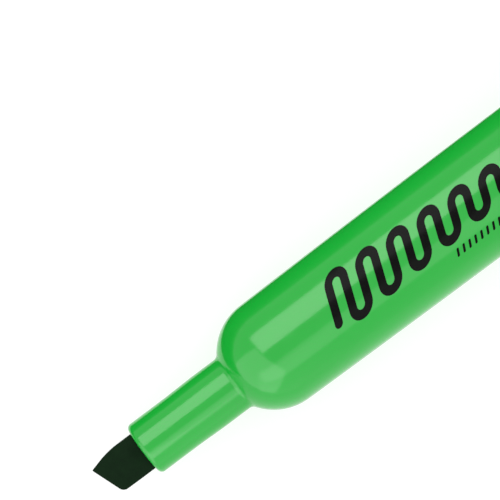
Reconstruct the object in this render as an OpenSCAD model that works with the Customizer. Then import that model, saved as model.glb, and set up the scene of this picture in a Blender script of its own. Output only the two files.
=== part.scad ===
// Chisel-tip highlighter, lying on its pocket clip with its cap pushed on the back end.
// X runs along the pen, from the nib to the cap's crown. Z is up, and the nib's broad faces look up and down.
// The origin is on the surface that the clip lies on, below the middle of the pen. The pen's axis is level.
// Lengths along the pen are first counted from the rim of the neck, where the nib comes out.

/* [Barrel] */
// Length of the barrel, from the rim of the neck to its open rear end
barrel_l = 112; // [108:1:118]
// Diameter where the shoulder runs into the barrel
shoulder_d = 17.54; // [17.3:0.02:17.8]
// Distance from the rim to the end of the shoulder
shoulder_end = 24.8; // [24:0.2:26]
// Radius of the shoulder's round
shoulder_r = 9; // [8.6:0.1:9.4]
// Largest diameter of the barrel, which is bowed slightly along its length
belly_d = 18.28; // [18.1:0.02:18.4]
// Distance from the rim to the barrel's widest place
belly_x = 80.5; // [74:0.5:86]
// Length of the narrower stretch at the rear that the cap goes over
spigot_l = 14; // [12:0.5:15]
// Diameter of that stretch
spigot_d = 17.68; // [17.6:0.02:17.7]
// Diameter of the hollow at the open end, and just behind the shoulder
hollow_d = [15.6, 15];
// Number of ribs inside that hold the reservoir in the middle
rib_count = 6; // [4:1:8]

/* [Neck] */
// Diameter of the neck near its rim
neck_d = 8.88; // [8.7:0.02:9]
// Diameter of the plain stretch that the cap's liner seals on
land_d = 9.1; // [9.06:0.02:9.12]
// Where the neck starts to widen, and where the sealing stretch starts
neck_taper = [7.3, 12.3];
// Radius of the rounded rim
rim_round = 0.8; // [0.4:0.1:0.9]
// Radius of the hollow corner between neck and shoulder
corner_r = 1; // [0.6:0.1:1.4]

/* [Nib] */
// Width and thickness of the nib where it leaves the neck
nib_size = [6.3, 3.9];
// How far the nib's long corner stands out of the rim
nib_reach = 8.05; // [7:0.05:9]
// How much shorter the other corner is
nib_slant = 2; // [1:0.1:2.5]
// Thickness of the writing edge
nib_edge = 1.3; // [0.8:0.1:1.8]
// Width, thickness and length of the stem at the back of the nib
stem_size = [3.6, 2.6, 11];

/* [Ink reservoir] */
// Diameter of the fibre core
core_d = 13.5; // [13:0.1:13.6]
// Length of the fibre core
core_l = 76; // [70:1:76]
// Thickness of the film wrapped round the core
film_t = 0.15; // [0.1:0.01:0.16]
// Outer and inner diameter of the breather tube
tube_d = [1.3, 0.8];

/* [Cap] */
// Length of the cap
cap_l = 42; // [41:0.5:46]
// Outer diameter at the mouth, and at the crown
cap_d = [20.3, 18.84];
// Diameter of the mouth's bore, which runs on the barrel
cap_bore_d = 17.84; // [17.82:0.01:17.88]
// Depth of the mouth's bore
cap_bore_l = 16; // [15:0.5:17]
// Thickness of the crown
crown_t = 1.4; // [1.2:0.1:1.8]
// Radius of the crown's rounded edge
crown_round = 1.6; // [1:0.1:2]
// Depth from the mouth to the inner liner
liner_depth = 18; // [17.5:0.1:18.5]
// Outer diameter of the liner, and the diameter that it seals with
liner_d = [11.2, 9.16];
// Number of air holes in the crown
vent_count = 3; // [2:1:5]

/* [Clip] */
// Width and thickness of the clip
clip_size = [6.6, 1.5];
// Where the clip's free end and its root are, counted from the cap's mouth
clip_span = [5.5, 36];
// Height of the clip's outer face over the pen's axis, at its middle
clip_top = 12.9; // [12.8:0.1:13.4]
// How much lower the clip's ends are than its middle
clip_sag = 0.7; // [0.5:0.1:0.9]

/* [Hidden] */
$fn = 96;
bow_steps = 12;
overlap = 0.5;

// The bow is one arc that is widest at belly_x and has shoulder_d at shoulder_end.
bow_rise = (belly_d - shoulder_d) / 2;
bow_run = belly_x - shoulder_end;
bow_r = (pow(bow_run, 2) + pow(bow_rise, 2)) / (2 * bow_rise);
bow_centre = [belly_d / 2 - bow_r, belly_x];
bow_lean = asin(bow_run / bow_r);
bow_end = barrel_l - spigot_l;

// Radius of the bowed barrel at a distance from the rim
function bow_at(x) = bow_centre[0] + sqrt(pow(bow_r, 2) - pow(x - bow_centre[1], 2));

// The shoulder's arc touches the bow at shoulder_end, so its centre is on the line to the bow's centre.
shoulder_centre = bow_centre + (bow_r - shoulder_r) * [cos(bow_lean), -sin(bow_lean)];

// The hollow corner touches the neck and the shoulder's arc.
land_r = land_d / 2;
corner_centre_r = land_r + corner_r;
corner_rise = corner_centre_r - shoulder_centre[0];
corner_x = shoulder_centre[1] - sqrt(pow(shoulder_r + corner_r, 2) - pow(corner_rise, 2));
corner_share = corner_r / (shoulder_r + corner_r);
corner_end = [
    corner_centre_r - corner_rise * corner_share,
    corner_x + (shoulder_centre[1] - corner_x) * corner_share
];

// Inside the barrel
hollow_start = 19.5;
hollow_wall = 1.3;
core_start = 23;
core_r = core_d / 2;
film_r = core_r + film_t;
rib_clear = 0.1;
rib_w = 1;
rib_ledge_r = 5.4;
rib_end = 100;
slot_clear = 0.1;
slot_round = 0.3;
groove_r = 0.55;
tube_clear = 0.05;
tube_centre_r = core_r - tube_d[0] / 2;

// Nib
nib_root = 17.5;
nib_bevel = [3.4, 0.9];
nib_corner_r = 0.8;
nib_flat_x = 2.5;
stem_tip = 2;
stem_clear = 0.03;

// End plug
plug_t = 1.2;
plug_d = 16.6;
plug_round = 0.4;
skirt_l = 7;
skirt_clear = 0.06;
skirt_wall = 1;
push_gap = 0.3;
push_w = 9.6;
push_t = 1;

// Cap, in its own place on the pen
mouth_gap = 0.15;
mouth_round = 0.5;
mouth_x = bow_end + mouth_gap;
cap_r = cap_d[0] / 2;
cap_inside_d = [16.6, 16.1];
collar_t = 0.4;
collar_l = 4;
collar_clear = 0.02;
vent_r = 0.8;
vent_pitch_r = 7.1;
liner_wall = 0.85;
liner_lip_l = 2.5;
liner_end_t = 0.8;
roof = cap_l - crown_t;

// Clip, seen from the side with its height counted from the pen's axis
clip_half = (clip_span[1] - clip_span[0]) / 2;
clip_mid = (clip_span[1] + clip_span[0]) / 2;
clip_arch_r = (pow(clip_half, 2) + pow(clip_sag, 2)) / (2 * clip_sag);
clip_end_r = 2.2;
arch_fn = 2400;
knuckle_r = 1.2;
knuckle_h = clip_top - clip_sag - knuckle_r;
seat_clear = 0.05;
bump_r = 2.6;
bump_from_end = 4;
bump_gap = 0.2;
seat_lip = 0.9;
seat_foot = 2.6;

// The clip's outer face is on the surface, so clip_top is the axis's height. The origin is below mid_x.
mid_x = (mouth_x + cap_l - nib_reach) / 2;

// Lays what is built along Z on the pen's axis, with its Z running from the rim to the rear.
module along_pen(start = 0) {
    in_pen(start) rotate([0, 90, 0]) children();
}

// Puts what is built along X on the pen's axis, with its X running to the rear.
module in_pen(start = 0) {
    translate([start - mid_x, 0, clip_top]) children();
}

// Puts what is built along X and up from the axis on the clip's side of the cap, which is the underside.
module at_clip() {
    in_pen(mouth_x) rotate([180, 0, 0]) children();
}

// Rectangle with rounded corners, centred
module rounded_rect(size, r) {
    square([size[0] - 2 * r, size[1]], center = true);
    square([size[0], size[1] - 2 * r], center = true);
    for (sx = [-1, 1], sy = [-1, 1])
        translate([sx * (size[0] / 2 - r), sy * (size[1] / 2 - r)]) circle(r, $fn = 32);
}

// Half section of a plain disc or rod with one rounded edge at its far end
module rounded_end(r, l, round_r) {
    square([r, l - round_r]);
    square([r - round_r, l]);
    translate([r - round_r, l - round_r]) circle(round_r, $fn = 48);
}

// Half section of the barrel's outside, from the rim to the open end
module barrel_section() {
    neck_r = neck_d / 2;
    spigot_r = spigot_d / 2;
    difference() {
        polygon([
            [0, 0],
            [neck_r - rim_round, 0],
            [neck_r, rim_round],
            [neck_r, neck_taper[0]],
            [land_r, neck_taper[1]],
            [land_r, corner_x],
            corner_end,
            for (i = [0 : bow_steps])
                let (x = shoulder_end + (bow_end - shoulder_end) * i / bow_steps) [bow_at(x), x],
            [spigot_r, bow_end],
            [spigot_r, barrel_l - plug_round],
            [spigot_r - plug_round, barrel_l],
            [0, barrel_l]
        ]);
        translate([corner_centre_r, corner_x]) circle(corner_r, $fn = 64);
    }
    translate([neck_r - rim_round, rim_round]) circle(rim_round, $fn = 48);
    intersection() {
        translate(shoulder_centre) circle(shoulder_r, $fn = 192);
        translate([0, corner_end[1]]) square([belly_d, shoulder_end - corner_end[1]]);
    }
    translate([spigot_r - plug_round, barrel_l - plug_round]) circle(plug_round, $fn = 48);
}

// Half section of the hollow that the core is pushed into from the rear
module hollow_section() {
    intersection() {
        translate(shoulder_centre) circle(shoulder_r - hollow_wall, $fn = 192);
        translate([0, hollow_start]) square([belly_d, shoulder_centre[1] - hollow_start]);
    }
    polygon([
        [0, shoulder_centre[1]],
        [hollow_d[1] / 2, shoulder_centre[1]],
        [hollow_d[0] / 2, barrel_l],
        [hollow_d[0] / 2, barrel_l + overlap],
        [0, barrel_l + overlap]
    ]);
}

// Ribs that hold the core in the middle, and ledges in front that it rests on
module ribs() {
    for (i = [0 : rib_count - 1])
        rotate([0, 0, 360 / rib_count * (i + 0.5)])
            translate([0, rib_w / 2, 0]) rotate([90, 0, 0]) linear_extrude(rib_w) polygon([
                [rib_ledge_r, hollow_start - overlap],
                [belly_d / 2, hollow_start - overlap],
                [belly_d / 2, rib_end],
                [film_r + rib_clear, rib_end],
                [film_r + rib_clear, core_start],
                [rib_ledge_r, core_start]
            ]);
}

// Slot for the nib, with an air groove above and below it
module nib_slot() {
    slot = nib_size + 2 * slot_clear * [1, 1];
    translate([0, 0, -overlap]) linear_extrude(hollow_start + 2 * overlap) {
        rotate([0, 0, 90]) rounded_rect(slot, slot_round);
        for (side = [-1, 1])
            translate([side * slot[1] / 2, 0]) circle(groove_r, $fn = 32);
    }
}

module barrel() {
    color([0.13, 0.7, 0.3])
    along_pen() difference() {
        rotate_extrude() barrel_section();
        difference() {
            rotate_extrude() hollow_section();
            ribs();
        }
        nib_slot();
    }
}

// Outline of the nib from above: X along the pen, and Y across it
module nib_plan() {
    half = nib_size[0] / 2;
    edge_y = [half - nib_bevel[1], nib_corner_r - half];
    difference() {
        polygon([
            [nib_root, half],
            [nib_bevel[0] - nib_reach, half],
            [-nib_reach, edge_y[0]],
            [nib_slant - nib_reach, -half],
            [nib_root, -half]
        ]);
        translate([nib_slant - nib_reach - overlap, -half - overlap])
            square([nib_corner_r + overlap, nib_corner_r + overlap]);
    }
    translate([nib_slant - nib_reach + nib_corner_r, edge_y[1]]) circle(nib_corner_r, $fn = 48);
}

// Outline of the nib from the side: X along the pen, and Y its thickness
module nib_side() {
    polygon([
        [nib_root, nib_size[1] / 2],
        [-nib_flat_x, nib_size[1] / 2],
        [-nib_reach - overlap, nib_edge / 2],
        [-nib_reach - overlap, -nib_edge / 2],
        [-nib_flat_x, -nib_size[1] / 2],
        [nib_root, -nib_size[1] / 2]
    ]);
}

// Stem at the back of the nib, with a pointed end; grow makes its socket
module nib_stem(grow = 0) {
    half = stem_size[0] / 2 + grow;
    stem_end = nib_root + stem_size[2] + grow;
    translate([0, 0, -stem_size[1] / 2 - grow]) linear_extrude(stem_size[1] + 2 * grow) polygon([
        [nib_root - overlap, half],
        [stem_end - stem_tip, half],
        [stem_end, 0],
        [stem_end - stem_tip, -half],
        [nib_root - overlap, -half]
    ]);
}

module nib() {
    color([0.09, 0.17, 0.09])
    in_pen() {
        intersection() {
            translate([0, 0, -nib_size[1]]) linear_extrude(2 * nib_size[1]) nib_plan();
            translate([0, nib_size[0], 0]) rotate([90, 0, 0]) linear_extrude(2 * nib_size[0]) nib_side();
        }
        nib_stem();
    }
}

module ink_reservoir() {
    color([0.35, 0.85, 0.4])
    difference() {
        along_pen(core_start) cylinder(r = core_r, h = core_l);
        in_pen() nib_stem(stem_clear);
        along_pen(core_start - overlap) {
            groove = tube_d[0] / 2 + tube_clear;
            translate([-tube_centre_r, 0, 0]) cylinder(r = groove, h = core_l + 2 * overlap);
            translate([-core_r - overlap, -groove, 0])
                cube([core_r + overlap - tube_centre_r, 2 * groove, core_l + 2 * overlap]);
        }
    }
}

module reservoir_film() {
    color([0.85, 0.9, 0.88])
    along_pen(core_start) difference() {
        cylinder(r = film_r, h = core_l);
        translate([0, 0, -overlap]) cylinder(r = core_r, h = core_l + 2 * overlap);
    }
}

module breather_tube() {
    tube_l = core_l + 2;
    color([0.95, 0.95, 0.93])
    along_pen(core_start - 1) translate([-tube_centre_r, 0, 0]) difference() {
        cylinder(d = tube_d[0], h = tube_l, $fn = 48);
        translate([0, 0, -overlap]) cylinder(d = tube_d[1], h = tube_l + 2 * overlap, $fn = 48);
    }
}

module end_plug() {
    skirt_r = hollow_d[0] / 2 - skirt_clear - (hollow_d[0] - hollow_d[1]) / 2 * skirt_l / barrel_l;
    push_start = core_start + core_l + push_gap;
    color([0.13, 0.7, 0.3])
    union() {
        along_pen(barrel_l) rotate_extrude() rounded_end(plug_d / 2, plug_t, plug_round);
        along_pen(barrel_l - skirt_l) difference() {
            cylinder(r = skirt_r, h = skirt_l + plug_t / 2);
            translate([0, 0, -overlap]) cylinder(r = skirt_r - skirt_wall, h = skirt_l + overlap);
        }
        in_pen(push_start) for (turn = [0, 90])
            rotate([turn, 0, 0]) translate([0, -push_w / 2, -push_t / 2])
                cube([barrel_l + plug_t / 2 - push_start, push_w, push_t]);
    }
}

// Half section of the cap's outside, with its mouth's edge and its crown's edge rounded
module cap_outside() {
    edge = [cap_d[1] / 2 - crown_round, cap_l - crown_round];
    mouth = [cap_r - mouth_round, mouth_round];
    away = edge - mouth;
    lean = atan(-away[0] / away[1]) + asin((mouth_round - crown_round) / norm(away));
    edge_touch = edge + crown_round * [cos(lean), sin(lean)];
    mouth_touch = mouth + mouth_round * [cos(lean), sin(lean)];
    polygon([
        [0, 0], [mouth[0], 0], mouth_touch, edge_touch, [edge[0], cap_l], [0, cap_l]
    ]);
    translate(edge) circle(crown_round, $fn = 64);
    translate(mouth) circle(mouth_round, $fn = 48);
}

// Half section of the cap's inside, with the collar round the liner left standing
module cap_inside() {
    collar_r = liner_d[0] / 2 + collar_clear;
    difference() {
        polygon([
            [0, -overlap],
            [cap_bore_d / 2 + 0.4, -overlap],
            [cap_bore_d / 2, 0.6],
            [cap_bore_d / 2, cap_bore_l],
            [cap_inside_d[0] / 2, cap_bore_l + 0.6],
            [cap_inside_d[1] / 2, roof],
            [0, roof]
        ]);
        translate([collar_r, roof - collar_l]) square([collar_t, collar_l + overlap]);
    }
}

// Side view of the seat that holds the clip's root
module seat_side() {
    x = clip_span[1];
    difference() {
        polygon([
            [x - seat_foot, cap_d[1] / 2 - 0.8],
            [x - seat_foot, knuckle_h - seat_lip],
            [x + knuckle_r, knuckle_h - seat_lip],
            [x + knuckle_r, knuckle_h + knuckle_r * 0.6],
            [x + knuckle_r + 0.8, knuckle_h + knuckle_r * 0.6],
            [cap_l - 1.2, cap_d[1] / 2 - 0.4],
            [cap_l - 1.2, cap_d[1] / 2 - 0.8]
        ]);
        translate([x, knuckle_h]) circle(knuckle_r + seat_clear, $fn = 96);
    }
}

module cap_shell() {
    color([0.13, 0.7, 0.3])
    difference() {
        union() {
            along_pen(mouth_x) difference() {
                rotate_extrude() cap_outside();
                rotate_extrude() cap_inside();
            }
            at_clip() translate([0, clip_size[0] / 2, 0]) rotate([90, 0, 0])
                linear_extrude(clip_size[0]) seat_side();
        }
        along_pen(mouth_x + roof - overlap) for (i = [0 : vent_count - 1])
            rotate([0, 0, 360 / vent_count * i]) translate([-vent_pitch_r, 0, 0])
                cylinder(r = vent_r, h = crown_t + 2 * overlap, $fn = 48);
    }
}

module cap_liner() {
    r = liner_d[0] / 2;
    l = roof - liner_depth;
    color([0.93, 0.94, 0.92])
    along_pen(mouth_x + liner_depth) difference() {
        cylinder(r = r, h = l);
        translate([0, 0, -overlap]) cylinder(d = liner_d[1], h = liner_lip_l + 2 * overlap);
        translate([0, 0, liner_lip_l]) cylinder(r = r - liner_wall, h = l - liner_lip_l - liner_end_t);
    }
}

// Side view of the clip: an arched strip with a round root and a bump near its free end
module clip_side_view() {
    arch_centre = [clip_mid, clip_top - clip_arch_r];
    bump_x = clip_span[0] + bump_from_end;
    cap_there = cap_r - (cap_d[0] - cap_d[1]) / 2 * bump_x / cap_l;
    intersection() {
        difference() {
            translate(arch_centre) circle(clip_arch_r, $fn = arch_fn);
            translate(arch_centre) circle(clip_arch_r - clip_size[1], $fn = arch_fn);
        }
        translate([clip_span[0], 0]) square([clip_span[1] - clip_span[0], clip_top + overlap]);
    }
    translate([clip_span[1], knuckle_h]) circle(knuckle_r, $fn = 96);
    intersection() {
        translate([bump_x, cap_there + bump_gap + bump_r]) circle(bump_r, $fn = 96);
        translate([bump_x - bump_r, 0]) square([2 * bump_r, clip_top - clip_sag - clip_size[1] / 2]);
    }
}

// The clip from above, with its free end's corners rounded
module clip_plan() {
    half = clip_size[0] / 2;
    start = clip_span[0] + clip_end_r;
    translate([start, -half]) square([clip_span[1] + knuckle_r - start, clip_size[0]]);
    translate([clip_span[0], clip_end_r - half])
        square([clip_end_r + overlap, clip_size[0] - 2 * clip_end_r]);
    for (side = [-1, 1])
        translate([start, side * (half - clip_end_r)]) circle(clip_end_r, $fn = 64);
}

module cap_clip() {
    color([0.13, 0.7, 0.3])
    at_clip() intersection() {
        translate([0, clip_size[0] / 2, 0]) rotate([90, 0, 0])
            linear_extrude(clip_size[0]) clip_side_view();
        linear_extrude(clip_top + overlap) clip_plan();
    }
}

barrel();
nib();
ink_reservoir();
reservoir_film();
breather_tube();
end_plug();
cap_shell();
cap_liner();
cap_clip();
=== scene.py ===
import logging
import math
from dataclasses import dataclass, field
from enum import Enum
from typing import Any

import bmesh
import bpy
from mathutils import Matrix, Vector


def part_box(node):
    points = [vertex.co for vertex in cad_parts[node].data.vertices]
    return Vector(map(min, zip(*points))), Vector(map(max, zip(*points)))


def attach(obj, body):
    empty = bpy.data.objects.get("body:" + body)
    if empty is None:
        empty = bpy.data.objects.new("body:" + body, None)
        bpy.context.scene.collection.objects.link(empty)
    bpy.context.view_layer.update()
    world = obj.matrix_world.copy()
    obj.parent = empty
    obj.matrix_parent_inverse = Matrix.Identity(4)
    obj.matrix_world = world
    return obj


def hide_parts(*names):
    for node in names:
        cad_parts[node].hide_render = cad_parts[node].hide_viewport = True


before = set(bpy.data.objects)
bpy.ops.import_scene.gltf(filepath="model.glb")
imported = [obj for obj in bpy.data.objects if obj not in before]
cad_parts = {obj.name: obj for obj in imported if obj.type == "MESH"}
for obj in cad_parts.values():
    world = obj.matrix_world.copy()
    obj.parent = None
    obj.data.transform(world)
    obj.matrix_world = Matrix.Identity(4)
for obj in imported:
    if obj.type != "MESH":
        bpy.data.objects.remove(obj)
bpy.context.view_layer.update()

LOG = logging.getLogger("highlighter")
MM = 0.001
SPIN_STEPS = 160
SHARP_DEG = 32.0

Point = tuple[float, float]
Colour = tuple[float, float, float]


class Body(Enum):
    """Bodies of the pen that move against each other."""

    BARREL = "barrel"
    CAP = "cap"
    CLIP = "clip"


class Slot(Enum):
    """Material slots of the part's record."""

    GREEN_PLASTIC = "green_plastic"
    NIB_FIBRE = "nib_fibre"
    INKED_FIBRE = "inked_fibre"
    CLEAR_FILM = "clear_film"
    NATURAL_PLASTIC = "natural_plastic"


class Joining(Enum):
    """Ways of combining two solids."""

    CUT = "DIFFERENCE"
    JOIN = "UNION"


# ---------------------------------------------------------------- places and shaping


@dataclass(frozen=True)
class PenFrame:
    """Where the pen lies. Lengths are in millimetres, counted from the rim of the neck to the rear.

    Heights and widths are counted from the pen's own axis. The clip is on the underside.
    """

    rim: Vector
    rear_x: float
    mouth_x: float
    crown_x: float
    clip_drop: float

    @classmethod
    def from_cad(cls) -> "PenFrame":
        """Reads the pen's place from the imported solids.

        Returns:
            The frame that every piece is built in.
        """
        low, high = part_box("barrel")
        cap_low, cap_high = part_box("cap_shell")
        clip_low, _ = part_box("cap_clip")
        rim = Vector((low.x, (low.y + high.y) / 2, (low.z + high.z) / 2))
        return cls(
            rim=rim,
            rear_x=(high.x - rim.x) / MM,
            mouth_x=(cap_low.x - rim.x) / MM,
            crown_x=(cap_high.x - rim.x) / MM,
            clip_drop=(rim.z - clip_low.z) / MM,
        )

    def to_row(self) -> Matrix:
        """Gives the matrix from the pen's millimetres to the shared frame's metres."""
        return Matrix.Translation(self.rim) @ Matrix.Scale(MM, 4)

    def point(self, x: float, y: float = 0.0, z: float = 0.0) -> Vector:
        """Gives the place in the shared frame of a point counted from the rim."""
        return self.to_row() @ Vector((x, y, z))


def arc(centre: Point, radius: float, start: float, end: float, steps: int) -> list[Point]:
    """Lists points along an arc, both ends included.

    Args:
        centre: Centre of the arc.
        radius: Radius of the arc.
        start: Angle of the first point, in degrees from the first axis towards the second.
        end: Angle of the last point.
        steps: Number of equal steps between them.

    Returns:
        The points in order.
    """
    angles = [math.radians(start + (end - start) * i / steps) for i in range(steps + 1)]
    return [(centre[0] + radius * math.cos(a), centre[1] + radius * math.sin(a)) for a in angles]


def spin_section(bm: bmesh.types.BMesh, section: list[Point]) -> None:
    """Turns a half section round the pen's axis.

    Args:
        bm: Mesh that gets the turned surface.
        section: Points of the half section, each a place along the axis and a radius.
    """
    verts = [bm.verts.new((x, 0.0, r)) for x, r in section]
    edges = [bm.edges.new(pair) for pair in zip(verts, verts[1:])]
    bmesh.ops.spin(
        bm, geom=verts + edges, cent=(0, 0, 0), axis=(1, 0, 0), dvec=(0, 0, 0),
        angle=2 * math.pi, steps=SPIN_STEPS, use_merge=True,
    )
    bmesh.ops.remove_doubles(bm, verts=bm.verts, dist=1e-5)


def outline_face(bm: bmesh.types.BMesh, outline: list[Point], at: float) -> bmesh.types.BMFace:
    """Makes one flat face in the X-Z plane.

    Args:
        bm: Mesh that gets the face.
        outline: Corners in order, each a place along the axis and a height.
        at: The face's place across the pen.

    Returns:
        The new face.
    """
    return bm.faces.new([bm.verts.new((x, at, z)) for x, z in outline])


def thicken_face(bm: bmesh.types.BMesh, face: bmesh.types.BMFace, by: Vector) -> None:
    """Extrudes a face into a closed prism."""
    made = bmesh.ops.extrude_face_region(bm, geom=[face], use_keep_orig=True)
    moved = [v for v in made["geom"] if isinstance(v, bmesh.types.BMVert)]
    bmesh.ops.translate(bm, verts=moved, vec=by)


def soften(bm: bmesh.types.BMesh, edges: list[bmesh.types.BMEdge], offset: float, segments: int) -> None:
    """Rounds edges with a bevel that never crosses its neighbour."""
    bmesh.ops.bevel(
        bm, geom=edges, offset=offset, segments=segments, profile=0.5, material=-1,
        affect="EDGES", clamp_overlap=True,
    )


def slice_off(bm: bmesh.types.BMesh, point: Vector, outward: Vector) -> None:
    """Cuts away what lies on the outward side of a plane, and closes the cut."""
    cut = bmesh.ops.bisect_plane(
        bm, geom=bm.verts[:] + bm.edges[:] + bm.faces[:], plane_co=point, plane_no=outward,
        clear_outer=True, dist=1e-5,
    )
    edges = [e for e in cut["geom_cut"] if isinstance(e, bmesh.types.BMEdge)]
    bmesh.ops.edgenet_fill(bm, edges=edges)


def as_object(bm: bmesh.types.BMesh, name: str) -> bpy.types.Object:
    """Closes a bmesh into an object, still in the pen's millimetres.

    Args:
        bm: Finished mesh, which is freed.
        name: Name of the object.

    Returns:
        The new object.
    """
    bmesh.ops.dissolve_degenerate(bm, dist=1e-4, edges=bm.edges)
    bmesh.ops.recalc_face_normals(bm, faces=bm.faces)
    mesh = bpy.data.meshes.new(name)
    bm.to_mesh(mesh)
    bm.free()
    made = bpy.data.objects.new(name, mesh)
    bpy.context.scene.collection.objects.link(made)
    return made


def combine(target: bpy.types.Object, tool: bpy.types.Object, joining: Joining) -> None:
    """Cuts a solid with another or joins them, and removes the tool.

    Args:
        target: Object whose mesh is changed.
        tool: Solid that cuts or is joined.
        joining: Which of the two is done.
    """
    modifier = target.modifiers.new(joining.name.lower(), "BOOLEAN")
    modifier.operation = joining.value
    modifier.solver = "EXACT"
    modifier.object = tool
    graph = bpy.context.evaluated_depsgraph_get()
    mesh = bpy.data.meshes.new_from_object(target.evaluated_get(graph))
    target.modifiers.clear()
    target.data = mesh
    bpy.data.objects.remove(tool)


@dataclass
class Workshop:
    """Finishes each piece: places it, shades it, dresses it and fastens it to its body."""

    pen: PenFrame

    def fit(
        self, piece: bpy.types.Object, body: Body, slot: Slot, material: bpy.types.Material,
        stands_for: tuple[str, ...] = (),
    ) -> bpy.types.Object:
        """Places a piece and dresses it.

        Args:
            piece: Object whose mesh is in the pen's millimetres.
            body: Body that it moves with.
            slot: Slot of the record that its finish belongs to; not used.
            material: Material that it wears.
            stands_for: CAD nodes that it is shown in place of.

        Returns:
            The same object.
        """
        piece.data.transform(self.pen.to_row())
        piece.data.polygons.foreach_set("use_smooth", [True] * len(piece.data.polygons))
        piece.data.set_sharp_from_angle(angle=math.radians(SHARP_DEG))
        piece.data.materials.clear()
        piece.data.materials.append(material)
        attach(piece, body.value)
        if stands_for:
            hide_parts(*stands_for)
        LOG.info("%s: %d faces, rides on %s", piece.name, len(piece.data.polygons), body.value)
        return piece

    def dress_node(self, node: str, material: bpy.types.Material) -> None:
        """Gives a CAD node that stays as it is a better material."""
        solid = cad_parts[node]
        solid.data.materials.clear()
        solid.data.materials.append(material)
        LOG.info("%s: dressed as it is", node)


# ---------------------------------------------------------------- finishes


class NodeSheet:
    """A material's node tree with short calls for the nodes that the finishes use."""

    def __init__(self, name: str) -> None:
        """Makes the material with its shader and its Object coordinates."""
        self.material = bpy.data.materials.new(name)
        self.material.use_nodes = True
        self.tree = self.material.node_tree
        self.shader = self.tree.nodes["Principled BSDF"]
        self.place = self.tree.nodes.new("ShaderNodeTexCoord").outputs["Object"]

    def node(self, kind: str, inputs: dict[str, Any], **settings: Any) -> bpy.types.Node:
        """Adds a node.

        Args:
            kind: Blender's name of the node type.
            inputs: Value or linked output for each named input.
            **settings: The node's own attributes.

        Returns:
            The new node.
        """
        made = self.tree.nodes.new(kind)
        for key, value in settings.items():
            setattr(made, key, value)
        for key, value in inputs.items():
            self.feed(made.inputs[key], value)
        return made

    def feed(self, socket: bpy.types.NodeSocket, value: Any) -> None:
        """Links an output to a socket, or sets the socket's own value."""
        if isinstance(value, bpy.types.NodeSocket):
            self.tree.links.new(value, socket)
        else:
            socket.default_value = value

    def noise(
        self, per_mm: float, stretch: tuple[float, float, float] = (1, 1, 1), detail: float = 3.0
    ) -> bpy.types.NodeSocket:
        """Adds noise over the piece.

        Args:
            per_mm: Number of blotches in a millimetre.
            stretch: How many times finer the blotches are along each axis.
            detail: Number of finer layers.

        Returns:
            The noise's value, around 0.5.
        """
        place = self.node("ShaderNodeMapping", {"Vector": self.place, "Scale": stretch}).outputs["Vector"]
        made = self.node("ShaderNodeTexNoise", {"Vector": place, "Scale": per_mm / MM, "Detail": detail})
        return made.outputs["Fac"]

    def between(self, fac: bpy.types.NodeSocket, low: float, high: float) -> bpy.types.NodeSocket:
        """Stretches a noise's middle range to run from one value to another."""
        inputs = {"Value": fac, "From Min": 0.3, "From Max": 0.7, "To Min": low, "To Max": high}
        return self.node("ShaderNodeMapRange", inputs).outputs["Result"]

    def blend(self, fac: bpy.types.NodeSocket, low: Colour, high: Colour) -> bpy.types.NodeSocket:
        """Mixes two colours by a factor."""
        made = self.tree.nodes.new("ShaderNodeMix")
        made.data_type = "RGBA"
        self.feed(made.inputs["Factor"], fac)
        self.feed(made.inputs[6], (*low, 1.0))
        self.feed(made.inputs[7], (*high, 1.0))
        return made.outputs[2]

    def relief(
        self, height: bpy.types.NodeSocket, depth_mm: float, onto: bpy.types.NodeSocket | None = None
    ) -> bpy.types.NodeSocket:
        """Turns a height into a bump of a real depth, on top of another bump if there is one."""
        inputs = {"Height": height, "Distance": depth_mm * MM, "Strength": 1.0}
        if onto is not None:
            inputs["Normal"] = onto
        return self.node("ShaderNodeBump", inputs).outputs["Normal"]

    def set(self, **values: Any) -> None:
        """Sets or links the shader's sockets, named with underscores for spaces."""
        names = {"ior": "IOR", "specular_ior_level": "Specular IOR Level"}
        for key, value in values.items():
            self.feed(self.shader.inputs[names.get(key, key.replace("_", " ").title())], value)


@dataclass(frozen=True)
class MouldedPlastic:
    """Glossy injection-moulded plastic with faint flow marks and a soft orange peel."""

    name: str
    colour: Colour
    flow_colour: Colour
    gloss: tuple[float, float] = (0.11, 0.17)
    peel_mm: float = 0.0012
    scuff_mm: float = 0.0004

    def material(self) -> bpy.types.Material:
        """Builds the material and returns it."""
        sheet = NodeSheet(self.name)
        flow = sheet.between(sheet.noise(0.12, stretch=(0.25, 1, 1)), 0.0, 1.0)
        peel = sheet.relief(sheet.noise(0.55, detail=1.0), self.peel_mm)
        scuffs = sheet.relief(sheet.noise(2.0, stretch=(0.06, 1, 1), detail=4.0), self.scuff_mm, peel)
        sheet.set(
            base_color=sheet.blend(flow, self.colour, self.flow_colour),
            roughness=sheet.between(sheet.noise(0.8), *self.gloss),
            ior=1.49,
            normal=scuffs,
        )
        return sheet.material


@dataclass(frozen=True)
class PrintedInk:
    """Black pad-printed ink, as smooth as the plastic under it but duller."""

    name: str
    colour: Colour
    thin_colour: Colour
    gloss: float = 0.06

    def material(self) -> bpy.types.Material:
        """Builds the material and returns it."""
        sheet = NodeSheet(self.name)
        sheet.set(
            base_color=sheet.blend(sheet.between(sheet.noise(3.0), 0.0, 1.0), self.colour, self.thin_colour),
            roughness=sheet.between(sheet.noise(5.0), 0.16, 0.24),
            specular_ior_level=self.gloss,
            normal=sheet.relief(sheet.noise(6.0, detail=2.0), 0.0008),
        )
        return sheet.material


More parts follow.
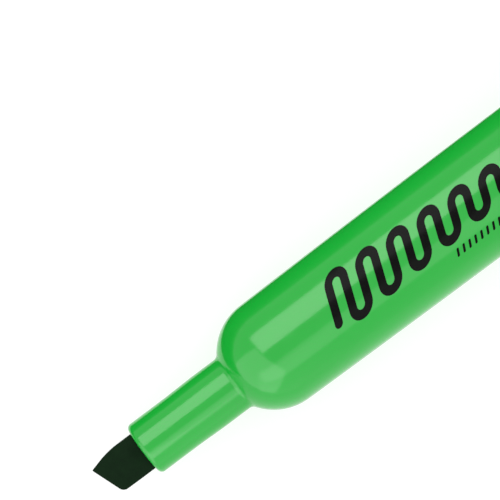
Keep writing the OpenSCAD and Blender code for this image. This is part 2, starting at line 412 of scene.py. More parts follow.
@dataclass(frozen=True)
class BondedFibre:
    """Fibres that run along the pen, wet with ink."""

    name: str
    colour: Colour
    light_colour: Colour
    fibres_per_mm: float = 9.0
    depth_mm: float = 0.02
    sheen: float = 0.3
    roughness: tuple[float, float] = (0.7, 0.9)

    def material(self) -> bpy.types.Material:
        """Builds the material and returns it."""
        sheet = NodeSheet(self.name)
        fibres = sheet.noise(self.fibres_per_mm, stretch=(0.05, 1, 1), detail=4.0)
        clots = sheet.noise(0.7, detail=2.0)
        tone = sheet.node("ShaderNodeMix", {"Factor": 0.4, "A": fibres, "B": clots}).outputs["Result"]
        sheet.set(
            base_color=sheet.blend(sheet.between(tone, 0.0, 1.0), self.colour, self.light_colour),
            roughness=sheet.between(fibres, *self.roughness),
            specular_ior_level=self.sheen,
            normal=sheet.relief(fibres, self.depth_mm),
        )
        return sheet.material


@dataclass(frozen=True)
class SatinPlastic:
    """Uncoloured plastic with a fine matt grain."""

    name: str
    colour: Colour
    cloudy_colour: Colour

    def material(self) -> bpy.types.Material:
        """Builds the material and returns it."""
        sheet = NodeSheet(self.name)
        clouds = sheet.between(sheet.noise(0.25), 0.0, 1.0)
        sheet.set(
            base_color=sheet.blend(clouds, self.colour, self.cloudy_colour),
            roughness=sheet.between(sheet.noise(4.0), 0.38, 0.5),
            ior=1.49,
            normal=sheet.relief(sheet.noise(7.0), 0.002),
        )
        return sheet.material


@dataclass(frozen=True)
class WrappedFilm:
    """Thin clear film with the fine creases of being rolled round a core."""

    name: str
    colour: Colour

    def material(self) -> bpy.types.Material:
        """Builds the material and returns it."""
        sheet = NodeSheet(self.name)
        creases = sheet.noise(1.2, stretch=(0.1, 1, 1))
        sheet.set(
            base_color=sheet.blend(creases, self.colour, (0.97, 0.99, 0.98)),
            roughness=sheet.between(sheet.noise(0.6), 0.06, 0.16),
            ior=1.5,
            transmission_weight=0.85,
            normal=sheet.relief(creases, 0.01),
        )
        return sheet.material


# ---------------------------------------------------------------- barrel


@dataclass
class Barrel:
    """The barrel with its neck and shoulder in one moulding."""

    workshop: Workshop
    neck_r: float = 4.44
    land_r: float = 4.55
    taper: Point = (7.3, 12.3)
    rim_round: float = 0.8
    corner_r: float = 1.0
    shoulder_r: float = 9.0
    shoulder_x: float = 24.8
    shoulder_end_r: float = 8.77
    belly_x: float = 80.5
    belly_r: float = 9.14
    spigot_x: float = 98.0
    spigot_r: float = 8.84
    bow_steps: int = 32
    step_round: float = 0.12
    rear_round: float = 0.4
    hollow_x: float = 19.5
    hollow_wall: float = 1.3
    hollow_r: Point = (7.5, 7.8)
    slot: Point = (3.25, 2.05)
    slot_round: float = 0.3
    slot_past: float = 0.5
    groove_r: float = 0.55
    rib_count: int = 6
    rib_x: Point = (19.2, 100.0)
    rib_w: float = 1.0
    rib_r: float = 7.0
    rib_root: float = 0.4
    ledge: Point = (23.0, 5.4)

    def bow_radius(self) -> float:
        """Gives the radius of the long arc that the barrel is bowed to."""
        rise, run = self.belly_r - self.shoulder_end_r, self.belly_x - self.shoulder_x
        return (run ** 2 + rise ** 2) / (2 * rise)

    def radius_at(self, x: float) -> float:
        """Gives the bowed barrel's radius at a place behind the shoulder."""
        bow = self.bow_radius()
        return self.belly_r - bow + math.sqrt(bow ** 2 - (x - self.belly_x) ** 2)

    def shoulder_centre(self) -> Point:
        """Gives the centre of the shoulder's round, which touches the bow."""
        bow = self.bow_radius()
        lean = math.asin((self.belly_x - self.shoulder_x) / bow)
        reach = bow - self.shoulder_r
        return self.belly_x - reach * math.sin(lean), self.belly_r - bow + reach * math.cos(lean)

    def section(self) -> list[Point]:
        """Lists the half section from the rim, round the open rear end, to the front of the hollow.

        Returns:
            Points along the outside and back along the inside.
        """
        sx, sr = self.shoulder_centre()
        corner_h = self.land_r + self.corner_r
        corner_x = sx - math.sqrt((self.shoulder_r + self.corner_r) ** 2 - (corner_h - sr) ** 2)
        touch = math.degrees(math.atan2(corner_h - sr, corner_x - sx))
        bow_touch = math.degrees(math.atan2(self.shoulder_end_r - sr, self.shoulder_x - sx))
        rear, wall_r = self.workshop.pen.rear_x, self.shoulder_r - self.hollow_wall
        front_r = sr + math.sqrt(wall_r ** 2 - (self.hollow_x - sx) ** 2)
        front_touch = math.degrees(math.atan2(front_r - sr, self.hollow_x - sx))
        bow_l, steps = self.spigot_x - self.shoulder_x, self.bow_steps
        bow = [self.shoulder_x + bow_l * i / steps for i in range(1, steps)]
        step_r = self.step_round
        return [
            (0.0, 0.0),
            *arc((self.rim_round, self.neck_r - self.rim_round), self.rim_round, 180, 90, 10),
            (self.taper[0], self.neck_r),
            (self.taper[1], self.land_r),
            *arc((corner_x, corner_h), self.corner_r, -90, touch - 180, 12),
            *arc((sx, sr), self.shoulder_r, touch, bow_touch, 40)[1:],
            *[(x, self.radius_at(x)) for x in bow],
            *arc((self.spigot_x - step_r, self.radius_at(self.spigot_x) - step_r), step_r, 90, 0, 4),
            (self.spigot_x, self.spigot_r),
            *arc((rear - self.rear_round, self.spigot_r - self.rear_round), self.rear_round, 90, 0, 6),
            (rear, self.hollow_r[1]),
            (sx, self.hollow_r[0]),
            *arc((sx, sr), wall_r, 90, front_touch, 16),
            (self.hollow_x, 0.0),
        ]

    def slot_outline(self) -> list[Point]:
        """Lists the slot's outline across the pen, with an air groove above and below."""
        half_w, half_h = self.slot
        quarter = arc((half_w - self.slot_round, half_h - self.slot_round), self.slot_round, 0, 90, 4)
        groove = arc((0, half_h), self.groove_r, 0, 90, 6)
        side = quarter + groove
        left = [(-y, z) for y, z in reversed(side[:-1])]
        top = side + left
        return top + [(-y, -z) for y, z in top]

    def rib_outline(self) -> list[Point]:
        """Lists the side view of a rib, from its ledge under the core to its root in the barrel's wall."""
        sx, sr = self.shoulder_centre()
        start, end = self.rib_x
        root_r = self.shoulder_r - self.hollow_wall + self.rib_root
        first = math.degrees(math.acos((start - sx) / root_r))
        front, rear = self.hollow_r
        end_r = front + (rear - front) * (end - sx) / (self.workshop.pen.rear_x - sx)
        return [
            (start, self.ledge[1]),
            *arc((sx, sr), root_r, first, 90, 12),
            (sx, front + self.rib_root),
            (end, end_r + self.rib_root),
            (end, self.rib_r),
            (self.ledge[0], self.rib_r),
            self.ledge,
        ]

    def build_ribs(self) -> bpy.types.Object:
        """Builds the ribs that hold the core in the middle of the hollow, and returns them."""
        bm = bmesh.new()
        for i in range(self.rib_count):
            rib = bmesh.new()
            face = outline_face(rib, self.rib_outline(), -self.rib_w / 2)
            thicken_face(rib, face, Vector((0, self.rib_w, 0)))
            turn = Matrix.Rotation(2 * math.pi * (i + 0.5) / self.rib_count, 4, "X")
            bmesh.ops.transform(rib, verts=rib.verts, matrix=turn)
            mesh = bpy.data.meshes.new("rib")
            rib.to_mesh(mesh)
            rib.free()
            bm.from_mesh(mesh)
            bpy.data.meshes.remove(mesh)
        return as_object(bm, "barrel_ribs")

    def build_slot(self) -> bpy.types.Object:
        """Builds the solid that cuts the nib's slot through the neck, and returns it."""
        bm = bmesh.new()
        face = bm.faces.new([bm.verts.new((-self.slot_past, y, z)) for y, z in self.slot_outline()])
        thicken_face(bm, face, Vector((self.hollow_x + 2 * self.slot_past, 0, 0)))
        return as_object(bm, "slot_cutter")

    def build_moulding(self) -> bpy.types.Object:
        """Turns the shell, cuts the nib's slot and adds the ribs.

        Returns:
            The barrel's object.
        """
        bm = bmesh.new()
        spin_section(bm, self.section())
        moulding = as_object(bm, "barrel_moulding")
        combine(moulding, self.build_slot(), Joining.CUT)
        combine(moulding, self.build_ribs(), Joining.JOIN)
        return moulding

    def make(self, plastic: bpy.types.Material) -> None:
        """Builds the moulding and fits it."""
        self.workshop.fit(
            self.build_moulding(), Body.BARREL, Slot.GREEN_PLASTIC, plastic, stands_for=("barrel",)
        )


@dataclass
class WavyPrint:
    """Plain black printing on the barrel: one wavy band and a row of short bars."""

    workshop: Workshop
    barrel: Barrel
    band_x: Point = (36.0, 72.5)
    band_side: float = 0.6
    band_half: Point = (2.7, 0.6)
    turn_r: float = 1.4
    stroke_w: float = 1.4
    slope: float = 0.38
    bars_x: Point = (57.5, 76.0)
    bars_side: float = -4.5
    bar_half: float = 0.5
    bar_w: float = 0.4
    bar_pitch: float = 1.1
    step: float = 0.4
    end_steps: int = 10
    turn_steps: int = 14
    lift: Point = (-0.01, 0.015)

    def sweep_stroke(
        self, bm: bmesh.types.BMesh, across: list[bmesh.types.BMEdge], run: float
    ) -> list[bmesh.types.BMEdge]:
        """Extrudes the band's edge straight across the barrel in short steps, and returns its last edge."""
        steps = max(1, round(abs(run) / self.step))
        for _ in range(steps):
            made = bmesh.ops.extrude_edge_only(bm, edges=across)["geom"]
            verts = [g for g in made if isinstance(g, bmesh.types.BMVert)]
            bmesh.ops.translate(bm, verts=verts, vec=(0, run / steps, 0))
            across = [g for g in made if isinstance(g, bmesh.types.BMEdge) and set(g.verts) <= set(verts)]
        return across

    def round_end(self, bm: bmesh.types.BMesh, across: list[bmesh.types.BMEdge], turn: float) -> None:
        """Rounds an end of a stroke by turning half of its edge about the middle."""
        verts = sorted({v for e in across for v in e.verts}, key=lambda v: v.co.x)
        half = next(e for e in across if set(e.verts) == set(verts[1:]))
        bmesh.ops.spin(
            bm, geom=[half, *half.verts], cent=verts[1].co.copy(), axis=(0, 0, 1), dvec=(0, 0, 0),
            angle=turn, steps=self.end_steps,
        )

    def lay_band(
        self, bm: bmesh.types.BMesh, start: float, side: float, halves: list[float], width: float
    ) -> None:
        """Lays one band of strokes that run to and fro across the barrel.

        Args:
            bm: Mesh that gets the flat band: X along the pen, Y round it.
            start: Place of the first stroke along the pen.
            side: Middle of the strokes, round the barrel.
            halves: Half the length of each stroke.
            width: Width of the band.
        """
        row = [bm.verts.new((start + width * k / 2, side - halves[0], 0)) for k in (-1, 0, 1)]
        across = [bm.edges.new(pair) for pair in zip(row, row[1:])]
        self.round_end(bm, across, -math.pi)
        way, x = 1, start
        for i in range(len(halves)):
            reach = min(halves[i:i + 2])
            here = across[0].verts[0].co.y
            across = self.sweep_stroke(bm, across, side + way * reach - here)
            if i == len(halves) - 1:
                break
            turned = bmesh.ops.spin(
                bm, geom=across + list({v for e in across for v in e.verts}),
                cent=(x + self.turn_r, side + way * reach, 0), axis=(0, 0, 1), dvec=(0, 0, 0),
                angle=-way * math.pi, steps=self.turn_steps,
            )
            across = [g for g in turned["geom_last"] if isinstance(g, bmesh.types.BMEdge)]
            x += 2 * self.turn_r
            way = -way
        self.round_end(bm, across, way * math.pi)

    def wrap(self, bm: bmesh.types.BMesh) -> None:
        """Gives the flat print its thickness, leans its strokes and wraps it round the barrel."""
        bmesh.ops.remove_doubles(bm, verts=bm.verts, dist=1e-4)
        bmesh.ops.recalc_face_normals(bm, faces=bm.faces)
        made = bmesh.ops.extrude_face_region(bm, geom=bm.faces[:], use_keep_orig=True)
        raised = {g for g in made["geom"] if isinstance(g, bmesh.types.BMVert)}
        for vert in bm.verts:
            x, round_it = vert.co.x + self.slope * vert.co.y, vert.co.y
            radius = self.barrel.radius_at(x)
            angle = round_it / radius
            radius += self.lift[1] if vert in raised else self.lift[0]
            vert.co = (x, radius * math.sin(angle), radius * math.cos(angle))

    def make(self, ink: bpy.types.Material) -> None:
        """Builds the band and the bars, and fits them."""
        count = 1 + int((self.band_x[1] - self.band_x[0]) / (2 * self.turn_r))
        first, last = self.band_half
        halves = [first + (last - first) * i / (count - 1) for i in range(count)]
        band = bmesh.new()
        self.lay_band(band, self.band_x[0], self.band_side, halves, self.stroke_w)
        self.wrap(band)
        bars = bmesh.new()
        for i in range(1 + int((self.bars_x[1] - self.bars_x[0]) / self.bar_pitch)):
            start = self.bars_x[0] + i * self.bar_pitch
            self.lay_band(bars, start, self.bars_side, [self.bar_half], self.bar_w)
        self.wrap(bars)
        for mesh, name in ((band, "print_wavy_band"), (bars, "print_short_bars")):
            self.workshop.fit(as_object(mesh, name), Body.BARREL, Slot.GREEN_PLASTIC, ink)


# ---------------------------------------------------------------- nib, core and plug


@dataclass
class Nib:
    """Chisel nib of bonded fibre, with the stem that dips in the core."""

    workshop: Workshop
    half_w: float = 3.15
    half_t: float = 1.95
    reach: float = 8.05
    slant: float = 2.0
    edge_half: float = 0.65
    flat_x: float = -2.5
    bevel: Point = (3.4, 0.9)
    root_x: float = 17.5
    stem: tuple[float, float, float] = (1.8, 1.3, 11.0)
    stem_tip: float = 2.0
    stem_inset: float = 0.3
    tip_squeeze: float = 0.04
    upper_round: tuple[float, int] = (1.5, 8)
    lower_round: tuple[float, int] = (0.75, 6)
    edge_round: tuple[float, int] = (0.16, 3)
    near: float = 0.05

    def shape_tip(self, bm: bmesh.types.BMesh) -> None:
        """Cuts the block to its slanted, thinned writing edge."""
        fall = Vector((self.reach + self.flat_x, 0, self.half_t - self.edge_half))
        for side in (1, -1):
            slice_off(bm, Vector((self.flat_x, 0, side * self.half_t)), Vector((-fall.z, 0, side * fall.x)))
        long_y = self.half_w - self.bevel[1]
        end = Vector((self.slant, -self.half_w - long_y, 0))
        slice_off(bm, Vector((-self.reach, long_y, 0)), Vector((end.y, -end.x, 0)))
        side = Vector((-self.bevel[0], -self.bevel[1], 0))
        slice_off(bm, Vector((self.bevel[0] - self.reach, self.half_w, 0)), Vector((side.y, -side.x, 0)))

    def round_corners(self, bm: bmesh.types.BMesh) -> None:
        """Rounds the corners seen from above, and then every other edge of the tip."""
        rounds = {
            (self.bevel[0] - self.reach, self.half_w): self.upper_round,
            (self.slant - self.reach, -self.half_w): self.lower_round,
        }
        for (x, y), size in rounds.items():
            standing = [
                e for e in bm.edges
                if all(abs(v.co.x - x) < self.near and abs(v.co.y - y) < self.near for v in e.verts)
            ]
            soften(bm, standing, *size)
        sharp = [
            e for e in bm.edges
            if len(e.link_faces) == 2 and e.calc_face_angle() > math.radians(20)
            and min(v.co.x for v in e.verts) < self.root_x - 0.01
        ]
        soften(bm, sharp, *self.edge_round)

    def add_stem(self, bm: bmesh.types.BMesh) -> None:
        """Draws the stem out of the nib's back face, and points its end."""
        back = max(bm.faces, key=lambda f: f.calc_center_median().x)
        bmesh.ops.inset_region(bm, faces=[back], thickness=self.stem_inset)
        half_y, half_z, length = self.stem
        for vert in back.verts:
            vert.co.y = math.copysign(min(abs(vert.co.y), half_y), vert.co.y)
            vert.co.z = math.copysign(min(abs(vert.co.z), half_z), vert.co.z)
        stretches = ((length - self.stem_tip, 1.0), (self.stem_tip, self.tip_squeeze))
        for reach, squeeze in stretches:
            made = bmesh.ops.extrude_face_region(bm, geom=[back])["geom"]
            verts = [g for g in made if isinstance(g, bmesh.types.BMVert)]
            bmesh.ops.delete(bm, geom=[back], context="FACES_ONLY")
            back = next(g for g in made if isinstance(g, bmesh.types.BMFace))
            bmesh.ops.translate(bm, verts=verts, vec=(reach, 0, 0))
            bmesh.ops.scale(bm, verts=verts, vec=(1, squeeze, 1))

    def make(self, fibre: bpy.types.Material) -> None:
        """Builds the nib and fits it."""
        bm = bmesh.new()
        bmesh.ops.create_cube(bm, size=1.0)
        bmesh.ops.scale(bm, verts=bm.verts, vec=(self.root_x + self.reach, 2 * self.half_w, 2 * self.half_t))
        bmesh.ops.translate(bm, verts=bm.verts, vec=((self.root_x - self.reach) / 2, 0, 0))
        self.shape_tip(bm)
        self.round_corners(bm)
        self.add_stem(bm)
        self.workshop.fit(as_object(bm, "nib_block"), Body.BARREL, Slot.NIB_FIBRE, fibre, stands_for=("nib",))


@dataclass
class EndPlug:
    """Plug that closes the rear end: a disc, a skirt and a cross that holds the core forward."""

    workshop: Workshop
    disc_r: float = 8.3
    disc_t: float = 1.2
    edge_r: float = 0.4
    skirt_r: float = 7.72
    skirt_l: float = 7.0
    skirt_wall: float = 1.0
    lead_in: float = 0.3
    cross_sink: float = 0.3
    cross: Point = (4.8, 0.5)
    cross_x: float = 99.3

    def section(self) -> list[Point]:
        """Lists the half section from the disc's middle, over its edge and the skirt, and back inside."""
        rear = self.workshop.pen.rear_x
        end = rear + self.disc_t
        return [
            (end, 0.0),
            *arc((end - self.edge_r, self.disc_r - self.edge_r), self.edge_r, 0, 90, 8),
            (rear, self.disc_r),
            (rear, self.skirt_r),
            (rear - self.skirt_l + self.lead_in, self.skirt_r),
            (rear - self.skirt_l, self.skirt_r - self.lead_in),
            (rear - self.skirt_l, self.skirt_r - self.skirt_wall),
            (rear, self.skirt_r - self.skirt_wall),
            (rear, 0.0),
        ]

    def make(self, plastic: bpy.types.Material) -> None:
        """Builds the plug and fits it."""
        bm = bmesh.new()
        spin_section(bm, self.section())
        plug = as_object(bm, "rear_plug")
        half, thick = self.cross
        reach = self.workshop.pen.rear_x + self.cross_sink - self.cross_x
        for turn in (0.0, math.pi / 2):
            blade = bmesh.new()
            bmesh.ops.create_cube(blade, size=1.0)
            bmesh.ops.scale(blade, verts=blade.verts, vec=(reach, 2 * half, 2 * thick))
            bmesh.ops.translate(blade, verts=blade.verts, vec=(self.cross_x + reach / 2, 0, 0))
            bmesh.ops.rotate(blade, verts=blade.verts, matrix=Matrix.Rotation(turn, 3, "X"))
            combine(plug, as_object(blade, "plug_blade"), Joining.JOIN)
        self.workshop.fit(plug, Body.BARREL, Slot.GREEN_PLASTIC, plastic, stands_for=("end_plug",))


# ---------------------------------------------------------------- cap


@dataclass
class CapShell:
    """Cap with its bore for the barrel, the liner's collar, the air holes and the clip's seat."""

    workshop: Workshop
    mouth_r: float = 10.15
    crown_r: float = 9.42
    bore: Point = (8.92, 16.0)
    inside_r: Point = (8.3, 8.05)
    mouth_round: float = 0.5
    mouth_lead: Point = (0.6, 0.4)
    bore_step: float = 0.6
    crown_round: float = 1.6
    crown_t: float = 1.4
    collar: Point = (5.62, 6.02)
    collar_l: float = 4.0
    vent_r: float = 0.8
    vent_pitch_r: float = 7.1
    vent_count: int = 3
    seat_x: float = 36.0
    seat_h: float = 11.0
    seat_r: float = 1.25
    seat_half_w: float = 3.3
    seat_front: float = 2.6
    seat_lip: float = 0.9
    seat_bevel: float = 0.25
    seat_wall: float = 1.2
    wall_rise: float = 0.5
    wall_slope: float = 0.2
    wall_top: float = 0.6
    seat_end: float = 40.8
    seat_sink: Point = (0.8, 0.4)

    def section(self) -> list[Point]:
        """Lists the half section from the crown's middle, over the outside, into the mouth and back."""
        mouth, crown = self.workshop.pen.mouth_x, self.workshop.pen.crown_x
        roof = crown - self.crown_t
        run, fall = crown - mouth, self.mouth_r - self.crown_r
        lean = math.degrees(math.atan(fall / run))
        bore_r, bore_l = self.bore
        crown_round, mouth_round = self.crown_round, self.mouth_round
        return [
            (crown, 0.0),
            (crown, self.crown_r - crown_round),
            *arc((crown - crown_round, self.crown_r - crown_round), crown_round, 0, 90 - lean, 16)[1:],
            *arc((mouth + mouth_round, self.mouth_r - mouth_round), mouth_round, 90, 180, 8),
            (mouth, bore_r + self.mouth_lead[1]),
            (mouth + self.mouth_lead[0], bore_r),
            (mouth + bore_l, bore_r),
            (mouth + bore_l + self.bore_step, self.inside_r[0]),
            (roof, self.inside_r[1]),
            (roof, self.collar[1]),
            (roof - self.collar_l, self.collar[1]),
            (roof - self.collar_l, self.collar[0]),
            (roof, self.collar[0]),
            (roof, 0.0),
        ]

    def seat_outline(self) -> list[Point]:
        """Lists the side view of the seat that holds the clip's root, with heights above the axis."""
        mouth = self.workshop.pen.mouth_x
        x, lip = mouth + self.seat_x, self.seat_h - self.seat_lip
        socket_dip = math.degrees(math.asin(self.seat_lip / self.seat_r))
        front, back, end = x - self.seat_front, x + self.seat_wall, mouth + self.seat_end
        top = self.seat_h + self.wall_rise + self.wall_slope
        root, tail = (self.crown_r - sink for sink in self.seat_sink)
        return [
            (front, root),
            (front, lip - self.seat_bevel),
            (front + self.seat_bevel, lip),
            *arc((x, self.seat_h), self.seat_r, 180 + socket_dip, 360 - socket_dip, 12),
            (back, lip),
            (back, self.seat_h + self.wall_rise),
            (back + self.wall_slope, top),
            (back + self.wall_slope + self.wall_top, top),
            (end, tail),
            (end, root),
        ]

    def build_seat(self) -> bpy.types.Object:
        """Builds the clip's seat as a solid on the underside of the cap, and returns it."""
        bm = bmesh.new()
        face = outline_face(bm, [(x, -h) for x, h in self.seat_outline()], -self.seat_half_w)
        thicken_face(bm, face, Vector((0, 2 * self.seat_half_w, 0)))
        return as_object(bm, "clip_seat")

    def build_vent(self, turn: float) -> bpy.types.Object:
        """Builds the drill for one air hole, at its angle round the crown, and returns it."""
        bm = bmesh.new()
        bmesh.ops.create_cone(
            bm, cap_ends=True, segments=40, radius1=self.vent_r, radius2=self.vent_r, depth=4 * self.crown_t
        )
        place = (
            Matrix.Rotation(turn, 4, "X")
            @ Matrix.Translation((self.workshop.pen.crown_x - self.crown_t / 2, 0, self.vent_pitch_r))
            @ Matrix.Rotation(math.pi / 2, 4, "Y")
        )
        bmesh.ops.transform(bm, verts=bm.verts, matrix=place)
        return as_object(bm, "vent_drill")

    def make(self, plastic: bpy.types.Material) -> None:
        """Builds the cap and fits it."""
        bm = bmesh.new()
        spin_section(bm, self.section())
        cap = as_object(bm, "cap_moulding")
        combine(cap, self.build_seat(), Joining.JOIN)
        for i in range(self.vent_count):
            combine(cap, self.build_vent(2 * math.pi * i / self.vent_count), Joining.CUT)
        self.workshop.fit(cap, Body.CAP, Slot.GREEN_PLASTIC, plastic, stands_for=("cap_shell",))


@dataclass
class CapLiner:
    """Inner cup that seals on the neck when the cap is on the front of the pen."""

    workshop: Workshop
    outer_r: float = 5.6
    lip_r: float = 4.58
    lip_l: float = 2.5
    wall: float = 0.85
    end_t: float = 0.8
    depth: float = 18.0
    length: float = 22.6
    rim_round: float = 0.25
    lip_round: float = 0.35
    lip_step: float = 0.1

    def make(self, plastic: bpy.types.Material) -> None:
        """Builds the liner and fits it."""
        start = self.workshop.pen.mouth_x + self.depth
        end = start + self.length
        inner_r = self.outer_r - self.wall
        rim, lip = self.rim_round, self.lip_round
        bm = bmesh.new()
        spin_section(bm, [
            (end, 0.0),
            (end, self.outer_r),
            (start + rim, self.outer_r),
            *arc((start + rim, self.outer_r - rim), rim, 90, 180, 5)[1:],
            *arc((start + lip, self.lip_r + lip), lip, 180, 270, 6),
            (start + self.lip_l, self.lip_r),
            (start + self.lip_l + self.lip_step, inner_r),
            (end - self.end_t, inner_r),
            (end - self.end_t, 0.0),
        ])
        self.workshop.fit(
            as_object(bm, "cap_seal_cup"), Body.CAP, Slot.NATURAL_PLASTIC, plastic, stands_for=("cap_liner",)
        )


@dataclass
class PocketClip:
    """Arched clip on the underside of the cap, with a round root and a bump near its free end."""

    workshop: Workshop
    half_w: float = 3.3
    thick: float = 1.5
    span: Point = (5.5, 36.0)
    sag: float = 0.7
    root_r: float = 1.2
    bump_r: float = 2.6
    bump_x: float = 9.5
    bump_h: float = 10.185
    end_r: float = 2.2
    end_cuts: int = 10
    edge_r: float = 0.3
    rim_angle: float = 60.0
    rim_stop: float = 0.4
    outer_steps: int = 40
    inner_steps: int = 30

    def arch_radius(self) -> float:
        """Gives the radius of the clip's outer face along its length."""
        half = (self.span[1] - self.span[0]) / 2
        return (half ** 2 + self.sag ** 2) / (2 * self.sag)

    def height_at(self, x: float) -> float:
        """Gives the height of the clip's outer face over the axis, at a distance from the mouth."""
        radius, middle = self.arch_radius(), sum(self.span) / 2
        return self.workshop.pen.clip_drop - radius + math.sqrt(radius ** 2 - (x - middle) ** 2)

    def outline(self) -> list[Point]:
        """Lists the clip's side view, with its height above the axis.

        Returns:
            Points along the outer face, round the root and back along the inner face and its bump.
        """
        start, root = self.span
        root_h = self.height_at(root) - self.root_r
        meet = math.degrees(math.asin((self.height_at(root) - self.thick - root_h) / self.root_r))
        bump_centre_h = self.bump_h + self.bump_r
        rise = bump_centre_h - (self.height_at(self.bump_x) - self.thick)
        spread = math.degrees(math.acos(rise / self.bump_r))
        bump_half = math.sqrt(self.bump_r ** 2 - rise ** 2)
        steps = self.outer_steps
        outer = [start + (root - start) * i / steps for i in range(steps)]
        inner_from, steps = root - self.root_r * math.cos(math.radians(meet)), self.inner_steps
        inner = [inner_from + (self.bump_x + bump_half - inner_from) * i / steps for i in range(1, steps)]
        return [
            *[(x, self.height_at(x)) for x in outer],
            *arc((root, root_h), self.root_r, 90, -180 - meet, 24),
            *[(x, self.height_at(x) - self.thick) for x in inner],
            *arc((self.bump_x, bump_centre_h), self.bump_r, -90 + spread, -90 - spread, 14),
            (start, self.height_at(start) - self.thick),
        ]

    def round_end(self, bm: bmesh.types.BMesh) -> None:
        """Rounds the free end's two corners, as seen from below, with a fan of flat cuts."""
        centre_x = self.workshop.pen.mouth_x + self.span[0] + self.end_r
        for side in (1, -1):
            centre = Vector((centre_x, side * (self.half_w - self.end_r), 0))
            for i in range(self.end_cuts):
                angle = math.pi / 2 * (i + 0.5) / self.end_cuts
                outward = Vector((-math.cos(angle), side * math.sin(angle), 0))
                slice_off(bm, centre + outward * self.end_r, outward)

    def make(self, plastic: bpy.types.Material) -> None:
        """Builds the clip and fits it."""
        mouth = self.workshop.pen.mouth_x
        bm = bmesh.new()
        face = outline_face(bm, [(mouth + x, -h) for x, h in self.outline()], -self.half_w)
        thicken_face(bm, face, Vector((0, 2 * self.half_w, 0)))
        self.round_end(bm)
        bmesh.ops.recalc_face_normals(bm, faces=bm.faces)
        rims = [
            e for e in bm.edges
            if len(e.link_faces) == 2 and e.calc_face_angle() > math.radians(self.rim_angle)
            and max(v.co.x for v in e.verts) < mouth + self.span[1] - self.rim_stop
        ]
        soften(bm, rims, self.edge_r, 3)
        self.workshop.fit(
            as_object(bm, "pocket_clip"), Body.CLIP, Slot.GREEN_PLASTIC, plastic, stands_for=("cap_clip",)
        )


# ---------------------------------------------------------------- studio


@dataclass(frozen=True)
class Panel:
    """A soft light panel that faces the pen, seen only in its gloss."""

    name: str
    radiance: float
    azimuth: float
    elevation: float
    half_across: float
    half_up: float
    distance: float = 0.6
    slide: float = 0.0
    length: float | None = None

    def place(self, target: Vector) -> None:
        """Hangs the panel.

        Args:
            target: Point that it faces.
        """
        a, e = math.radians(self.azimuth), math.radians(self.elevation)
        toward = Vector((-math.cos(a) * math.cos(e), math.sin(a) * math.cos(e), math.sin(e)))
        light = bpy.data.lights.new(self.name, "AREA")
        light.shape = "RECTANGLE"
        light.size = self.length or 2 * self.distance * math.tan(math.radians(self.half_across))
        light.size_y = 2 * self.distance * math.tan(math.radians(self.half_up))
        light.energy = self.radiance * math.pi * light.size * light.size_y
        lamp = bpy.data.objects.new(self.name, light)
        bpy.context.scene.collection.objects.link(lamp)
        lamp.location = target + toward * self.distance + Vector((self.slide, 0, 0))
        lamp.rotation_euler = (-toward).to_track_quat("-Z", "Y").to_euler()
        lamp.visible_camera = False
        lamp.visible_diffuse = False


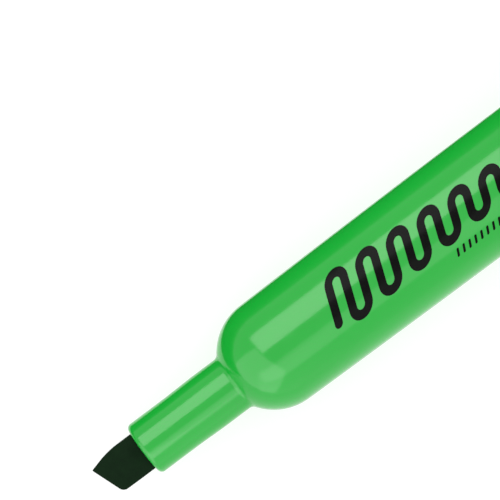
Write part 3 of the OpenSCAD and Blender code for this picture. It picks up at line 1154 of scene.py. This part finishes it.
@dataclass
class Studio:
    """White floor, even light with soft panels, a black card that paints a dark reflection into the pen's
    gloss, and the camera overhead.
    """

    pen: PenFrame
    barrel: Barrel
    clip: PocketClip
    world_radiance: float = 1.1
    floor_colour: Colour = (0.4, 0.4, 0.4)
    floor_glow: float = 0.68
    # Painted reflection card: its near edge, the start of its fade and its far edge, in millimetres from the
    # axis.
    card: tuple[float, float, float] = (13.0, 34.0, 400.0)
    card_lift: float = 0.3
    sheet_length: float = 3.0
    floor_half: float = 1500.0
    centre_x: float = 31.2
    centre_y: float = 14.6
    frame_w: float = 75.9
    camera_turn: float = -36.95
    lens: float = 200.0
    sensor: float = 36.0
    panels: list[Panel] = field(default_factory=lambda: [
        Panel("strip_panel", 2.9, 90, 54.5, 45, 21.5, slide=0.39, length=1.256),
        Panel("side_panel", 0.9, -90, 57.5, 45, 16.5, slide=0.1, length=1.6),
        Panel("front_panel", 1.35, -17, 38, 42, 33),
        Panel("low_panel", 0.45, -90, 31, 45, 37, slide=-0.511, length=1.0),
    ])

    def floor_slope(self) -> float:
        """Finds the slope to the rear of the flat surface that touches the clip and the shoulder's end."""
        arch, drop = self.clip.arch_radius(), self.pen.clip_drop
        run = self.pen.mouth_x + sum(self.clip.span) / 2 - self.barrel.shoulder_x
        rise = drop - self.barrel.shoulder_end_r
        return (math.sqrt(run ** 2 - 2 * arch * rise) - run) / arch

    def lay_sheet(self, name: str, across: Point, lift: float = 0.0) -> bpy.types.Object:
        """Lays a long flat sheet along the pen, level with the surface that the pen rests on.

        Args:
            name: Name of the sheet.
            across: Its edges across the pen, in millimetres from the axis.
            lift: Its height over that surface, in millimetres.

        Returns:
            The sheet's object.
        """
        bm = bmesh.new()
        bmesh.ops.create_grid(bm, x_segments=1, y_segments=1, size=0.5)
        bmesh.ops.scale(bm, verts=bm.verts, vec=(self.sheet_length, (across[1] - across[0]) * MM, 1))
        bmesh.ops.rotate(bm, verts=bm.verts, matrix=Matrix.Rotation(-math.atan(self.floor_slope()), 3, "Y"))
        height = lift - self.barrel.shoulder_end_r
        middle = self.pen.point(self.barrel.shoulder_x, sum(across) / 2, height)
        bmesh.ops.translate(bm, verts=bm.verts, vec=middle)
        return as_object(bm, name)

    def lay_floor(self) -> None:
        """Lays the floor under the pen."""
        floor = self.lay_sheet("floor", (-self.floor_half, self.floor_half))
        sheet = NodeSheet("floor_paper")
        sheet.set(
            base_color=(*self.floor_colour, 1.0),
            roughness=0.9,
            emission_color=(1, 1, 1, 1),
            emission_strength=self.floor_glow,
        )
        floor.data.materials.append(sheet.material)

    def lay_card(self) -> None:
        """Lays a card beside the pen that paints a dark reflection into the pen's gloss: black near it and
        paler farther off, seen only in the pen's gloss.
        """
        near, fade, far = self.card
        card = self.lay_sheet("painted_reflection_card", (near, far), lift=self.card_lift)
        sheet = NodeSheet("painted_reflection_card")
        # Painted reflection: the card's tone runs from black near the pen to pale grey far off, only to
        # darken the pen's gloss on this side.
        side = sheet.node("ShaderNodeSeparateXYZ", {"Vector": sheet.place}).outputs["Y"]
        tone = sheet.node("ShaderNodeMapRange", {"Value": side, "From Min": fade * MM, "From Max": far * MM})
        sheet.set(base_color=sheet.blend(tone.outputs["Result"], (0, 0, 0), (0.8, 0.8, 0.8)), roughness=1.0)
        card.data.materials.append(sheet.material)
        card.visible_camera = False
        card.visible_diffuse = False
        card.visible_shadow = False

    def light(self) -> None:
        """Sets the even light all round, and hangs the panels."""
        world = bpy.data.worlds.new("studio")
        world.use_nodes = True
        world.node_tree.nodes["Background"].inputs["Color"].default_value = (1, 1, 1, 1)
        world.node_tree.nodes["Background"].inputs["Strength"].default_value = self.world_radiance
        bpy.context.scene.world = world
        target = self.pen.point(self.centre_x)
        for panel in self.panels:
            panel.place(target)

    def aim_camera(self) -> None:
        """Hangs the camera straight over the pen, turned so that the pen lies across the frame."""
        data = bpy.data.cameras.new("camera")
        data.lens, data.sensor_width = self.lens, self.sensor
        camera = bpy.data.objects.new("camera", data)
        bpy.context.scene.collection.objects.link(camera)
        rise = self.frame_w * self.lens / self.sensor
        camera.location = self.pen.point(self.centre_x, self.centre_y, rise)
        camera.rotation_euler = (0, 0, math.radians(self.camera_turn))
        bpy.context.scene.camera = camera

    def make(self) -> None:
        """Sets up the whole studio."""
        self.lay_floor()
        self.lay_card()
        self.light()
        self.aim_camera()
        bpy.context.scene.view_settings.view_transform = "Standard"


def main() -> None:
    """Builds the pen piece by piece and sets up the studio."""
    logging.basicConfig(level=logging.INFO, format="%(message)s")
    pen = PenFrame.from_cad()
    workshop = Workshop(pen)
    green = MouldedPlastic("green_moulding", (0.004, 0.40, 0.030), (0.005, 0.42, 0.034)).material()
    natural = SatinPlastic("natural_moulding", (0.80, 0.81, 0.78), (0.84, 0.85, 0.82)).material()
    barrel = Barrel(workshop)
    barrel.make(green)
    WavyPrint(workshop, barrel).make(
        PrintedInk("black_print", (0.0012, 0.0014, 0.0012), (0.003, 0.004, 0.003)).material()
    )
    tip = BondedFibre("nib_fibre", (0.002, 0.010, 0.003), (0.005, 0.020, 0.006), sheen=0.05)
    Nib(workshop).make(tip.material())
    EndPlug(workshop).make(green)
    CapShell(workshop).make(green)
    CapLiner(workshop).make(natural)
    clip = PocketClip(workshop)
    clip.make(green)
    core = BondedFibre("core_fibre", (0.07, 0.52, 0.11), (0.14, 0.68, 0.2), 6.0, 0.03)
    workshop.dress_node("ink_reservoir", core.material())
    workshop.dress_node("reservoir_film", WrappedFilm("core_film", (0.88, 0.94, 0.9)).material())
    workshop.dress_node("breather_tube", natural)
    Studio(pen, barrel, clip).make()


if __name__ == "__main__":
    main()
